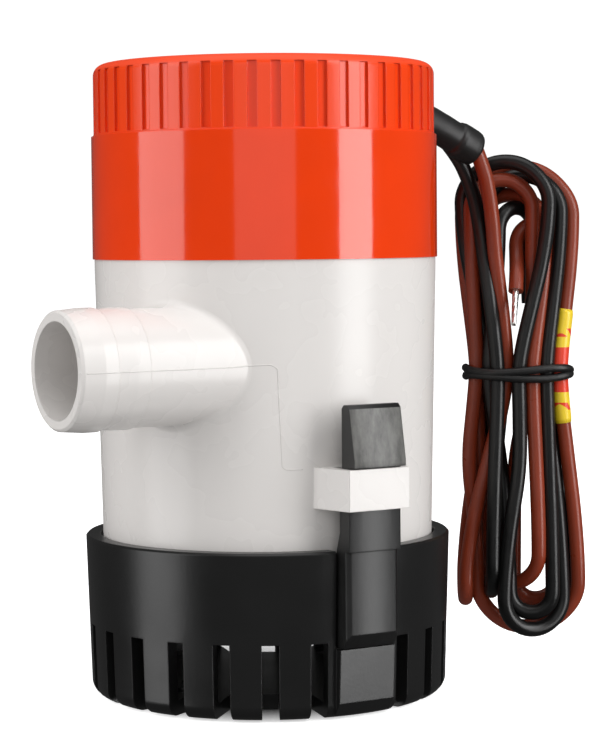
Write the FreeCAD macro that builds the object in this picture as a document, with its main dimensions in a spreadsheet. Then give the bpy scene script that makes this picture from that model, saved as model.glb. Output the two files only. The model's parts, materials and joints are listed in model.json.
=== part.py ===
import FreeCAD, Part

import math
import os

import Sketcher

# Small bilge pump. Millimetres, +Z up, origin at the centre of the strainer's underside.
# The outlet nozzle points along -X, the two latches stand at -Y and +Y, the leads leave at +X.

SIZES = [
    # strainer base: the slotted cup that is screwed to the hull
    ("rim_radius", 30.0), ("foot_radius", 29.2), ("rim_height", 26.3), ("cup_radius", 27.6),
    ("cup_floor_radius", 26.6), ("floor_thick", 2.4), ("foot_rounding", 2.3), ("rim_chamfer", 0.35),
    ("slot_width", 2.7), ("slot_top", 12.0), ("slot_inner", 19.0), ("slot_pitch_deg", 15.0),
    ("screw_hole_radius", 2.25), ("screw_spacing", 28.0), ("rib_inner", 24.2), ("rib_outer", 27.5),
    ("rib_width", 1.8), ("rib_foot", 2.0), ("seat_height", 14.0), ("pad_half", 5.0),
    ("pad_front", 30.4), ("pad_top", 11.0), ("pad_foot", 1.0), ("pad_toe", 28.6),
    ("pad_toe_height", 0.6), ("pad_knee", 29.95), ("pad_knee_height", 2.6), ("window_half", 5.1),
    ("window_inner", 26.0),
    # latch fingers
    ("finger_half", 4.7), ("finger_bevel", 0.6), ("finger_gap", 0.15), ("finger_front", 32.1),
    ("finger_back", 28.3), ("tab_front", 32.6), ("tab_back", 29.9), ("hook_height", 39.4),
    ("hook_front", 34.2), ("hook_lip", 1.0), ("head_front", 32.8), ("head_back", 30.6),
    ("head_top", 49.0), ("head_edge", 0.6), ("finger_toe", 30.5), ("finger_heel", 28.6),
    ("finger_ramp", 2.3), ("finger_bend", 2.0), ("finger_root", 3.0),
    # outer housing with nozzle and latch loops
    ("shell_bottom_radius", 26.9), ("shell_radius", 28.0), ("shell_taper_top", 70.0),
    ("plate_pocket_radius", 25.35), ("plate_seat", 16.6), ("water_radius_low", 24.7),
    ("water_radius_high", 25.7), ("shelf_low", 72.0), ("shelf_top", 76.0), ("shelf_hole", 20.3),
    ("neck_base", 76.2), ("neck_radius", 26.5), ("neck_bore", 23.6), ("neck_top", 88.0),
    ("cap_groove_low", 81.1), ("cap_groove_high", 82.9), ("cap_groove_radius", 25.0),
    ("case_groove_inner", 21.3), ("case_groove_outer", 22.7), ("case_groove_depth", 1.2),
    ("nozzle_height", 54.87), ("nozzle_offset", 13.34), ("nozzle_mouth", 44.6), ("nozzle_bore", 7.54),
    ("tube_radius", 9.15), ("barb_radius", 9.5), ("barb_inner_radius", 9.38), ("barb_valley", 9.22),
    ("barb_one", 38.6), ("barb_two", 33.2), ("barb_land", 2.2), ("mouth_rounding", 0.4),
    ("nozzle_blend", 1.2), ("bore_end", 14.0), ("loop_root", 25.7), ("loop_low", 32.8),
    ("loop_high", 39.2), ("loop_front", 34.0), ("loop_inner", 32.7), ("loop_front_half", 5.5),
    ("loop_root_half", 7.4), ("loop_slot_half", 4.75), ("loop_slot_back", 27.75),
    # inlet plate and impeller
    ("plate_radius", 25.3), ("plate_thick", 2.0), ("eye_radius", 8.0), ("eye_wall", 1.4),
    ("eye_collar", 0.8), ("vane_low", 17.4), ("disc_low", 23.6), ("disc_top", 25.0),
    ("impeller_radius", 19.0), ("hub_radius", 4.2), ("hub_top", 25.8), ("vane_count", 6),
    ("vane_thick", 1.3), ("vane_bite", 0.3), ("vane_sweep_deg", 48.0),
    # shaft, seal and bearings
    ("shaft_radius", 1.6), ("shaft_low", 17.4), ("shaft_top", 73.0), ("running_gap", 0.04),
    ("seal_radius", 5.0), ("seal_thick", 1.5), ("seal_inset", 0.5), ("retainer_hole", 2.4),
    ("bearing_radius", 3.6), ("bearing_long", 3.0), ("washer_radius", 3.0), ("washer_thick", 0.4),
    # sealed motor case and motor
    ("case_low", 26.2), ("case_floor", 2.6), ("case_radius", 20.2), ("case_bore", 18.0),
    ("flange_radius", 23.4), ("flange_thick", 1.6), ("can_radius", 17.9), ("can_wall", 1.1),
    ("can_top", 70.0), ("magnet_inner", 13.0), ("magnet_outer", 16.7), ("magnet_low", 34.0),
    ("magnet_high", 62.0), ("magnet_arc_deg", 136.0), ("core_radius", 12.3), ("core_low", 36.0),
    ("core_high", 60.0), ("pole_count", 5), ("coil_radius", 2.7), ("coil_circle", 8.0),
    ("slot_mouth", 1.6), ("coil_gap", 0.1), ("coil_past_core", 0.5), ("coil_overhang", 3.2),
    ("coil_inner", 4.4), ("coil_outer", 11.2), ("coil_bevel", 1.0), ("commutator_radius", 4.6),
    ("commutator_low", 64.6), ("commutator_high", 69.4), ("bar_slit", 0.4), ("bar_root", 1.4),
    ("bar_foot", 1.0), ("end_play", 0.1), ("end_cap_thick", 2.0), ("end_cap_boss", 1.6),
    ("end_cap_top", 73.6), ("brush_long", 4.6), ("brush_width", 3.0), ("brush_low", 65.4),
    ("brush_gap", 0.15), ("arm_thick", 0.4), ("arm_past_brush", 0.3), ("terminal_offset", 9.0),
    ("terminal_top", 80.5), ("terminal_wide", 4.8), ("terminal_thick", 0.8),
    # cap, label band and seals
    ("skirt_low", 76.4), ("skirt_radius", 28.0), ("skirt_bore", 26.65), ("grip_low", 91.4),
    ("grip_radius", 27.9), ("cap_top", 102.9), ("cap_rounding", 1.9), ("cap_inner", 25.8),
    ("cap_roof", 2.1), ("cap_step", 88.1), ("flute_count", 48), ("flute_width", 1.5),
    ("flute_depth", 0.5), ("flute_low", 91.6), ("flute_high", 101.7), ("flute_phase_deg", 3.4),
    ("label_low", 71.3), ("label_high", 91.2), ("label_inner", 28.02), ("label_outer", 28.3),
    ("cap_seal_ring", 25.83), ("cap_seal_section", 0.8), ("case_seal_ring", 22.0),
    ("case_seal_section", 0.58), ("seal_clearance", 0.02),
    # strain relief boot and leads
    ("boot_radius", 3.15), ("collar_radius", 3.45), ("collar_long", 3.0), ("collar_rounding", 0.5),
    ("boot_gap", 0.05), ("boot_hole_long", 9.0), ("boot_flange_radius", 4.4),
    ("boot_flange_thick", 1.2), ("lead_radius", 1.3), ("conductor_radius", 0.75), ("tie_radius", 0.75),
    ("tie_height", 50.4), ("tie_clearance", 0.95), ("tie_rise", 0.6), ("tie_tail_radius", 0.97),
    ("tie_tail_long", 5.0), ("tag_radius", 1.5),
]


class Dim:
    """A length or count that carries its value and the spreadsheet formula behind it."""

    def __init__(self, value, text):
        self.value = value
        self.text = text

    def __add__(self, other):
        other = dim(other)
        return Dim(self.value + other.value, f"({self.text} + {other.text})")

    def __sub__(self, other):
        other = dim(other)
        return Dim(self.value - other.value, f"({self.text} - {other.text})")

    def __mul__(self, other):
        other = dim(other)
        return Dim(self.value * other.value, f"({self.text} * {other.text})")

    def __truediv__(self, other):
        other = dim(other)
        return Dim(self.value / other.value, f"({self.text} / {other.text})")

    def __neg__(self):
        return Dim(-self.value, f"(0 - {self.text})")


def dim(value):
    return value if isinstance(value, Dim) else Dim(float(value), repr(float(value)))


class Sizes:
    """Every driving size as a Dim, filled from the spreadsheet."""


document = FreeCAD.newDocument("bilge_pump")
sheet = document.addObject("Spreadsheet::Sheet", "sizes")
s = Sizes()
for row, (alias, value) in enumerate(SIZES, start=1):
    sheet.set(f"A{row}", alias)
    sheet.set(f"B{row}", str(value))
    sheet.setAlias(f"B{row}", alias)
document.recompute()
for alias, _ in SIZES:
    setattr(s, alias, Dim(float(sheet.get(alias)), f"sizes.{alias}"))

PAST = 1.0          # how far a cutter runs past the face it opens
EDGE_SLACK = 0.3    # how near an edge must be to the place where it is looked for
EXACT = 0.01        # how near counts as the same radius or height
parts = {}          # node name: document object


def keep(name, feature):
    """Make a feature one of the pump's pieces."""
    feature.Label = name
    parts[name] = feature
    return feature


def bind(feature, **values):
    """Bind properties to formulas; a double underscore stands for a dot in the property's path."""
    for name, value in values.items():
        feature.setExpression(name.replace("__", "."), dim(value).text)
    return feature


# ---------------------------------------------------------------- PartDesign helpers

def fix_vertex(sketch, line, name, x, y):
    """Hold the start point of a line at (x, y) with two bound constraints."""
    for axis, other_axis, kind, value in (("x", -2, "DistanceX", x), ("y", -1, "DistanceY", y)):
        if abs(value.value) < 1e-9:
            sketch.addConstraint(Sketcher.Constraint("PointOnObject", line, 1, other_axis))
            continue
        size = value if value.value > 0 else -value
        ends = (-1, 1, line, 1) if value.value > 0 else (line, 1, -1, 1)
        index = sketch.addConstraint(Sketcher.Constraint(kind, *ends, size.value))
        sketch.renameConstraint(index, f"{name}_{axis}")
        sketch.setExpression(f"Constraints.{name}_{axis}", size.text)


def outline_sketch(body, role, name, outline):
    """A closed outline of straight lines on one of the body's own origin planes."""
    sketch = body.newObject("Sketcher::SketchObject", name)
    plane = next(f for f in body.Origin.OriginFeatures if f.Role == role)
    sketch.AttachmentSupport = [(plane, "")]
    sketch.MapMode = "FlatFace"
    points = [(dim(x), dim(y)) for x, y in outline]
    corners = [FreeCAD.Vector(x.value, y.value, 0) for x, y in points]
    count = len(corners)
    for i in range(count):
        sketch.addGeometry(Part.LineSegment(corners[i], corners[(i + 1) % count]), False)
    for i in range(count):
        sketch.addConstraint(Sketcher.Constraint("Coincident", i, 2, (i + 1) % count, 1))
    for i, (x, y) in enumerate(points):
        fix_vertex(sketch, i, f"corner{i}", x, y)
    return sketch


def turned(name, outline):
    """A body revolved about Z from an outline of (radius, height) points."""
    body = document.addObject("PartDesign::Body", name)
    sketch = outline_sketch(body, "XZ_Plane", name + "_outline", outline)
    turn = body.newObject("PartDesign::Revolution", name + "_turn")
    turn.Profile = sketch
    turn.ReferenceAxis = (sketch, ["V_Axis"])
    turn.Angle = 360.0
    sketch.Visibility = False
    return body


def prism(name, role, outline, length, midplane=False):
    """A body padded from an outline on an origin plane."""
    body = document.addObject("PartDesign::Body", name)
    sketch = outline_sketch(body, role, name + "_outline", outline)
    pad = body.newObject("PartDesign::Pad", name + "_pad")
    pad.Profile = sketch
    pad.Midplane = midplane
    bind(pad, Length=length)
    sketch.Visibility = False
    return body


def dress(body, kind, name, chosen, size):
    """Fillet or chamfer the edges of a body's tip that a test chooses."""
    document.recompute()
    base = body.Tip
    edges = [f"Edge{i}" for i, edge in enumerate(base.Shape.Edges, start=1) if chosen(edge)]
    if not edges:
        raise RuntimeError(f"{name}: no edge chosen")
    feature = body.newObject("PartDesign::" + kind, name)
    feature.Base = (base, edges)
    bind(feature, **{"Radius" if kind == "Fillet" else "Size": size})
    return feature


def ring_edge_at(radius, height):
    """A test for the full circle about Z of one radius and height."""

    def chosen(edge):
        curve = edge.Curve
        return (
            isinstance(curve, Part.Circle)
            and abs(curve.Radius - radius) < EXACT
            and abs(edge.BoundBox.ZMin - height) < EXACT
            and abs(edge.BoundBox.ZMax - height) < EXACT
        )
    return chosen


# ---------------------------------------------------------------- Part primitive helpers

def cylinder(name, radius, low, high, x=0.0, y=0.0):
    """An upright cylinder between two heights."""
    solid = document.addObject("Part::Cylinder", name)
    low, high = dim(low), dim(high)
    bind(solid, Radius=radius, Height=high - low, Placement__Base__z=low)
    bind(solid, Placement__Base__x=x, Placement__Base__y=y)
    return solid


def block(name, x_span, y_span, z_span):
    """A box between pairs of coordinates."""
    solid = document.addObject("Part::Box", name)
    (x0, x1), (y0, y1), (z0, z1) = ((dim(a), dim(b)) for a, b in (x_span, y_span, z_span))
    bind(solid, Length=x1 - x0, Width=y1 - y0, Height=z1 - z0)
    bind(solid, Placement__Base__x=x0, Placement__Base__y=y0, Placement__Base__z=z0)
    return solid


def spoke(name, inner, outer, width, low, high, degrees):
    """A radial box standing at an angle about Z."""
    solid = document.addObject("Part::Box", name)
    inner, outer, width, low, high = (dim(v) for v in (inner, outer, width, low, high))
    bind(solid, Length=outer - inner, Width=width, Height=high - low)
    turn = dim(degrees).text
    bind(solid, Placement__Base__z=low)
    solid.Placement.Rotation = FreeCAD.Rotation(FreeCAD.Vector(0, 0, 1), 1.0)
    solid.setExpression("Placement.Rotation.Angle", f"{turn} * 1deg")
    solid.setExpression("Placement.Base.x", f"{inner.text} * cos({turn}) + {width.text} / 2 * sin({turn})")
    solid.setExpression("Placement.Base.y", f"{inner.text} * sin({turn}) - {width.text} / 2 * cos({turn})")
    return solid


def fuse(name, *solids):
    joined = document.addObject("Part::MultiFuse", name)
    joined.Shapes = list(solids)
    return joined


def cut(name, base, *tools):
    """The base less one tool, or less the union of several."""
    result = document.addObject("Part::Cut", name)
    result.Base = base
    result.Tool = tools[0] if len(tools) == 1 else fuse(name + "_tools", *tools)
    return result


def group(name, *solids):
    """Separate solids that share one node."""
    compound = document.addObject("Part::Compound", name)
    compound.Links = list(solids)
    return compound


def torus(name, ring, section, height):
    solid = document.addObject("Part::Torus", name)
    return bind(solid, Radius1=ring, Radius2=section, Placement__Base__z=height)


def free_shape(name, shape):
    """A piece whose shape comes straight from Part's functions."""
    feature = document.addObject("Part::Feature", name)
    feature.Shape = shape
    feature.Placement = FreeCAD.Placement()
    return feature


# ---------------------------------------------------------------- tubes along routes

def rounded_route(points):
    """Straight runs joined by tangent arcs, each arc as large as its two runs allow."""
    route = [FreeCAD.Vector(*p) for p in points]
    edges, start, radii = [], route[0], []
    for before, corner, after in zip(route, route[1:], route[2:]):
        into, out = corner - before, after - corner
        half_turn = into.getAngle(out) / 2
        trim = 0.45 * min(into.Length, out.Length)
        radii.append(trim / math.tan(half_turn))
        first = corner - into.normalize() * trim
        last = corner + out.normalize() * trim
        bisector = (out - into).normalize()
        middle = corner + bisector * (radii[-1] / math.cos(half_turn) - radii[-1])
        edges.append(Part.LineSegment(start, first).toShape())
        edges.append(Part.Arc(first, middle, last).toShape())
        start = last
    edges.append(Part.LineSegment(start, route[-1]).toShape())
    return Part.Wire(edges), radii


def tube(name, points, radius):
    """A round tube along a route; prints its bend radii and compares volumes."""
    wire, radii = rounded_route(points)
    first = wire.Edges[0]
    at = first.FirstParameter
    circle = Part.makeCircle(radius, first.valueAt(at), first.tangentAt(at))
    shape = wire.makePipeShell([Part.Wire([circle])], True, True)
    expected = math.pi * radius**2 * wire.Length
    print(f"{name}: length {wire.Length:.1f}, radii {[round(r, 1) for r in radii]},"
          f" volume {shape.Volume / expected:.4f} of section times length")
    return shape


# ---------------------------------------------------------------- strainer base and latches

LATCH_SIDES = (("front", -1), ("rear", 1))
RIB_PITCHES = (2.5, 9.5, 14.5, 21.5)     # the four seat ribs stand between slots, in slot pitches from +X


def make_strainer_base():
    """Cup with radial inlet slots, four ribs that carry the pump, and a window behind each latch."""
    cup = turned("strainer_cup", [
        (0, 0), (s.foot_radius, 0), (s.rim_radius, s.rim_height), (s.cup_radius, s.rim_height),
        (s.cup_floor_radius, s.floor_thick), (0, s.floor_thick),
    ])
    dress(cup, "Fillet", "foot_round", ring_edge_at(s.foot_radius.value, 0), s.foot_rounding)
    rim_edge = ring_edge_at(s.rim_radius.value, s.rim_height.value)
    dress(cup, "Chamfer", "rim_chamfer_cut", rim_edge, s.rim_chamfer)
    cutters = []
    pitch = s.slot_pitch_deg
    for side in (0, 180):
        for step in range(-5, 6):
            name = f"inlet_slot_{side}_{step + 5}"
            cutters.append(spoke(name, s.slot_inner, s.rim_radius + PAST, s.slot_width,
                                 -PAST, s.slot_top, pitch * step + side))
    for label, side in LATCH_SIDES:
        near, far = (s.window_inner, s.rim_radius + PAST)
        span = (-far, -near) if side < 0 else (near, far)
        cutters.append(block("latch_window_" + label, (-s.window_half, s.window_half), span,
                             (s.pad_top, s.rim_height + PAST)))
    for label, side in (("port", -1), ("starboard", 1)):
        cutters.append(cylinder("screw_hole_" + label, s.screw_hole_radius, -PAST, s.floor_thick + PAST,
                                x=s.screw_spacing * side / 2))
    slotted = cut("slotted_cup", cup, *cutters)
    ribs = [
        spoke(f"seat_rib_{i}", s.rib_inner, s.rib_outer, s.rib_width, s.rib_foot, s.seat_height,
              pitch * place)
        for i, place in enumerate(RIB_PITCHES)
    ]
    pads = []
    for label, side in LATCH_SIDES:
        pad = prism("latch_pad_" + label, "YZ_Plane", [
            (s.cup_floor_radius * side, s.pad_foot), (s.pad_toe * side, s.pad_toe_height),
            (s.pad_knee * side, s.pad_knee_height), (s.pad_front * side, s.pad_top),
            (s.cup_floor_radius * side, s.pad_top),
        ], s.pad_half * 2, midplane=True)
        pads.append(pad)
    keep("strainer_base", fuse("strainer_base", slotted, *ribs, *pads))


def latch_outline(side):
    """Finger, tab and hook head seen from the side, as (distance from axis, height)."""
    low = s.pad_top + s.finger_gap
    outline = [
        (s.finger_heel, low), (s.finger_toe, low), (s.finger_front, low + s.finger_ramp),
        (s.finger_front, s.rim_height), (s.tab_front, s.rim_height), (s.tab_front, s.hook_height),
        (s.hook_front, s.hook_height), (s.hook_front, s.hook_height + s.hook_lip),
        (s.head_front, s.head_top - s.head_edge), (s.head_front - s.head_edge, s.head_top),
        (s.head_back + s.head_edge, s.head_top), (s.head_back, s.head_top - s.head_edge),
        (s.head_back, s.hook_height), (s.tab_back, s.hook_height - s.finger_bend),
        (s.tab_back, s.rim_height + s.finger_root), (s.finger_back, s.rim_height - s.finger_bend),
        (s.finger_back, s.seat_height),
    ]
    return [(x * side, z) for x, z in outline]


def make_latch(label, side):
    name = "latch_" + label
    body = prism(name, "YZ_Plane", latch_outline(side), s.finger_half * 2, midplane=True)

    def front_side_edge(edge):
        box = edge.BoundBox
        upright = box.ZLength > s.finger_ramp.value and box.XLength < EXACT
        middle = edge.valueAt((edge.FirstParameter + edge.LastParameter) / 2)
        forward = abs(middle.y) > s.finger_front.value - EDGE_SLACK
        return upright and forward and middle.z < s.rim_height.value

    dress(body, "Chamfer", name + "_bevel", front_side_edge, s.finger_bevel)
    keep(name, body)


# ---------------------------------------------------------------- outer housing

def make_outer_housing():
    """White shell with a tangential outlet nozzle, a shelf for the motor case and two latch loops."""
    outside = turned("shell_outside", [
        (0, s.seat_height), (s.shell_bottom_radius, s.seat_height), (s.shell_radius, s.shell_taper_top),
        (s.shell_radius, s.neck_base), (s.neck_radius, s.neck_base), (s.neck_radius, s.cap_groove_low),
        (s.cap_groove_radius, s.cap_groove_low), (s.cap_groove_radius, s.cap_groove_high),
        (s.neck_radius, s.cap_groove_high), (s.neck_radius, s.neck_top), (0, s.neck_top),
    ])
    water_space = turned("water_space", [
        (0, s.seat_height - PAST), (s.plate_pocket_radius, s.seat_height - PAST),
        (s.plate_pocket_radius, s.plate_seat), (s.water_radius_low, s.plate_seat),
        (s.water_radius_high, s.shelf_low), (0, s.shelf_low),
    ])
    shelf_bore = cylinder("shelf_bore", s.shelf_hole, s.shelf_low - PAST, s.shelf_top + PAST)
    neck_space = cylinder("neck_space", s.neck_bore, s.shelf_top, s.neck_top + PAST)
    seal_groove = turned("case_seal_groove", [
        (s.case_groove_inner, s.shelf_top - s.case_groove_depth),
        (s.case_groove_outer, s.shelf_top - s.case_groove_depth),
        (s.case_groove_outer, s.shelf_top + PAST), (s.case_groove_inner, s.shelf_top + PAST),
    ])
    tube_out = turned("nozzle_outside", [
        (0, 0), (s.tube_radius, 0), (s.tube_radius, s.barb_two),
        (s.barb_inner_radius, s.barb_two), (s.barb_inner_radius, s.barb_two + s.barb_land),
        (s.barb_valley, s.barb_one), (s.barb_radius, s.barb_one),
        (s.barb_radius, s.barb_one + s.barb_land), (s.barb_valley, s.nozzle_mouth - s.mouth_rounding),
        (s.barb_valley - s.mouth_rounding, s.nozzle_mouth), (0, s.nozzle_mouth),
    ])
    bore = turned("nozzle_space", [
        (0, s.bore_end), (s.nozzle_bore, s.bore_end), (s.nozzle_bore, s.nozzle_mouth + PAST),
        (0, s.nozzle_mouth + PAST),
    ])
    for body in (tube_out, bore):
        body.Placement.Rotation = FreeCAD.Rotation(FreeCAD.Vector(0, 1, 0), -90)
        bind(body, Placement__Base__y=-s.nozzle_offset, Placement__Base__z=s.nozzle_height)
    loops = []
    for label, side in LATCH_SIDES:
        ring = prism("latch_loop_" + label, "XY_Plane", [
            (-s.loop_root_half, s.loop_root * side), (s.loop_root_half, s.loop_root * side),
            (s.loop_front_half, s.loop_front * side), (-s.loop_front_half, s.loop_front * side),
        ], s.loop_high - s.loop_low)
        bind(ring, Placement__Base__z=s.loop_low)
        near, far = (s.loop_slot_back, s.loop_inner)
        span = (-far, -near) if side < 0 else (near, far)
        slot = block("loop_slot_" + label, (-s.loop_slot_half, s.loop_slot_half), span,
                     (s.loop_low - PAST, s.loop_high + PAST))
        loops.append(cut("latch_ring_" + label, ring, slot))
    blended = blend_nozzle(fuse("shell_and_nozzle", outside, tube_out))
    shell = fuse("shell_with_loops", blended, *loops)
    spaces = (water_space, shelf_bore, neck_space, seal_groove, bore)
    keep("outer_housing", cut("outer_housing", shell, *spaces))


def blend_nozzle(joined):
    """Round the line where the nozzle runs into the shell."""
    document.recompute()
    centre = FreeCAD.Vector(0, -s.nozzle_offset.value, s.nozzle_height.value)
    chosen = []
    for i, edge in enumerate(joined.Shape.Edges, start=1):
        box = edge.BoundBox
        inside = box.XMax < 0 and box.XMin > -s.barb_two.value and box.ZLength > s.nozzle_blend.value
        around = all(
            abs((FreeCAD.Vector(0, v.Y, v.Z) - centre).Length - s.tube_radius.value) < EDGE_SLACK
            for v in edge.Vertexes
        )
        if inside and around and not isinstance(edge.Curve, (Part.Line, Part.Circle)):
            chosen.append((i, s.nozzle_blend.value, s.nozzle_blend.value))
    if not chosen:
        raise RuntimeError("nozzle blend: no edge chosen")
    blended = document.addObject("Part::Fillet", "nozzle_blend")
    blended.Base = joined
    blended.Edges = chosen
    return blended


# ---------------------------------------------------------------- wet end

def make_inlet_plate():
    """Round plate that closes the housing's bottom, with a low collar round the inlet eye."""
    under = s.plate_seat - s.plate_thick
    keep("inlet_plate", turned("inlet_plate", [
        (s.eye_radius, under - s.eye_collar), (s.eye_radius + s.eye_wall, under - s.eye_collar),
        (s.eye_radius + s.eye_wall, under), (s.plate_radius, under),
        (s.plate_radius, s.plate_seat), (s.eye_radius, s.plate_seat),
    ]))


def vane(turn_deg):
    """One backward-curved impeller blade, between two arcs of different centres."""
    bite, sweep = s.vane_bite.value, s.vane_sweep_deg.value
    low, high = s.vane_low.value, s.disc_low.value + bite
    inner, outer = s.hub_radius.value - bite, s.impeller_radius.value - bite
    thick = s.vane_thick.value

    def arm(distance, degrees, offset):
        angle = math.radians(degrees)
        return FreeCAD.Vector(
            distance * math.cos(angle) - offset * math.sin(angle),
            distance * math.sin(angle) + offset * math.cos(angle), low)

    stations = ((inner, 0), ((inner + outer) / 2, -0.375 * sweep), (outer, -sweep))
    near = [arm(d, a, thick / 2) for d, a in stations]
    far = [arm(d, a, -thick / 2) for d, a in stations]
    wire = Part.Wire([
        Part.Arc(*near).toShape(), Part.LineSegment(near[2], far[2]).toShape(),
        Part.Arc(*reversed(far)).toShape(), Part.LineSegment(far[0], near[0]).toShape(),
    ])
    blade = Part.Face(wire).extrude(FreeCAD.Vector(0, 0, high - low))
    blade.rotate(FreeCAD.Vector(0, 0, 0), FreeCAD.Vector(0, 0, 1), turn_deg)
    return blade


def make_impeller():
    """Open impeller: a disc and hub pressed on the shaft, with curved vanes facing the inlet eye."""
    disc = turned("impeller_disc", [
        (s.shaft_radius, s.vane_low), (s.hub_radius, s.vane_low), (s.hub_radius, s.disc_low),
        (s.impeller_radius, s.disc_low), (s.impeller_radius, s.disc_top), (s.hub_radius, s.disc_top),
        (s.hub_radius, s.hub_top), (s.shaft_radius, s.hub_top),
    ])
    count = int(s.vane_count.value)
    vanes = [free_shape(f"vane_{i}", vane(360.0 / count * i)) for i in range(count)]
    keep("impeller", fuse("impeller", disc, *vanes))


def make_motor_case():
    """Sealed cup that keeps the motor dry; water rises around it to the nozzle."""
    seal_top = s.case_low + s.case_floor - s.seal_inset
    seal_low = seal_top - s.seal_thick
    keep("motor_case", turned("motor_case", [
        (s.seal_radius, s.case_low), (s.case_radius, s.case_low), (s.case_radius, s.shelf_top),
        (s.flange_radius, s.shelf_top), (s.flange_radius, s.shelf_top + s.flange_thick),
        (s.case_bore, s.shelf_top + s.flange_thick), (s.case_bore, s.case_low + s.case_floor),
        (s.retainer_hole, s.case_low + s.case_floor), (s.retainer_hole, seal_top),
        (s.seal_radius, seal_top),
    ]))
    keep("shaft_seal", turned("shaft_seal", [
        (s.shaft_radius + s.running_gap, seal_low), (s.seal_radius, seal_low),
        (s.seal_radius, seal_top), (s.shaft_radius + s.running_gap, seal_top),
    ]))
    keep("seal_retainer", turned("seal_retainer", [
        (s.retainer_hole, s.case_low), (s.seal_radius, s.case_low),
        (s.seal_radius, seal_low), (s.retainer_hole, seal_low),
    ]))


# ---------------------------------------------------------------- motor

def bearing(name, low):
    keep(name, turned(name, [
        (s.shaft_radius + s.running_gap, low), (s.bearing_radius, low),
        (s.bearing_radius, low + s.bearing_long), (s.shaft_radius + s.running_gap, low + s.bearing_long),
    ]))


def make_motor_can():
    low = s.case_low + s.case_floor
    keep("motor_can", turned("motor_can", [
        (s.bearing_radius, low), (s.can_radius, low), (s.can_radius, s.can_top),
        (s.can_radius - s.can_wall, s.can_top), (s.can_radius - s.can_wall, low + s.can_wall),
        (s.bearing_radius, low + s.can_wall),
    ]))
    bearing("front_bearing", low)


def make_magnets():
    arcs = []
    for i in range(2):
        outer = cylinder(f"magnet_outside_{i}", s.magnet_outer, s.magnet_low, s.magnet_high)
        inner = cylinder(f"magnet_inside_{i}", s.magnet_inner, s.magnet_low - PAST, s.magnet_high + PAST)
        outer.setExpression("Angle", s.magnet_arc_deg.text)
        outer.Placement.Rotation = FreeCAD.Rotation(FreeCAD.Vector(0, 0, 1), 1.0)
        middle = 90 + 180 * i
        outer.setExpression("Placement.Rotation.Angle", f"({middle} - {s.magnet_arc_deg.text} / 2) * 1deg")
        arcs.append(cut(f"magnet_arc_{i}", outer, inner))
    keep("field_magnets", group("field_magnets", *arcs))


def make_armature():
    """Five-pole core with its coils, all fixed to the shaft."""
    keep("motor_shaft", cylinder("motor_shaft", s.shaft_radius, s.shaft_low, s.shaft_top))
    poles = int(s.pole_count.value)
    below, above = s.core_low - PAST, s.core_high + PAST
    core_tools = [cylinder("core_bore", s.shaft_radius, below, above)]
    coils = []
    for i in range(poles):
        turn = 360.0 / poles * i
        x = s.coil_circle * math.cos(math.radians(turn))
        y = s.coil_circle * math.sin(math.radians(turn))
        core_tools.append(cylinder(f"coil_slot_{i}", s.coil_radius, below, above, x, y))
        core_tools.append(spoke(f"slot_mouth_{i}", s.coil_circle, s.core_radius + PAST, s.slot_mouth,
                                below, above, turn))
        coils.append(cylinder(f"coil_side_{i}", s.coil_radius - s.coil_gap, s.core_low - s.coil_past_core,
                              s.core_high + s.coil_past_core, x, y))
    core = cylinder("core_blank", s.core_radius, s.core_low, s.core_high)
    keep("armature_core", cut("armature_core", core, *core_tools))
    for label, low, high in (("lower", s.core_low - s.coil_overhang, s.core_low),
                             ("upper", s.core_high, s.core_high + s.coil_overhang)):
        coils.append(turned("coil_end_" + label, [
            (s.coil_inner, low + s.coil_bevel), (s.coil_inner + s.coil_bevel, low),
            (s.coil_outer - s.coil_bevel, low), (s.coil_outer, low + s.coil_bevel),
            (s.coil_outer, high - s.coil_bevel), (s.coil_outer - s.coil_bevel, high),
            (s.coil_inner + s.coil_bevel, high), (s.coil_inner, high - s.coil_bevel),
        ]))
    keep("armature_windings", fuse("armature_windings", *coils))
    bars = cylinder("commutator_blank", s.commutator_radius, s.commutator_low, s.commutator_high)
    slits = [
        spoke(f"bar_slit_{i}", s.shaft_radius + s.bar_root, s.commutator_radius + PAST, s.bar_slit,
              s.commutator_low + s.bar_foot, s.commutator_high + PAST, 360.0 / poles * (i + 0.5))
        for i in range(poles)
    ]
    hole = cylinder("commutator_bore", s.shaft_radius, s.commutator_low - PAST, s.commutator_high + PAST)
    keep("commutator", cut("commutator", bars, hole, *slits))
    lower = s.case_low + s.case_floor + s.bearing_long
    washers = [
        turned("thrust_washer_" + label, [
            (s.shaft_radius, low), (s.washer_radius, low), (s.washer_radius, low + s.washer_thick),
            (s.shaft_radius, low + s.washer_thick),
        ])
        for label, low in (("lower", lower + s.end_play), ("upper", s.commutator_high))
    ]
    keep("thrust_washers", group("thrust_washers", *washers))


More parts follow.
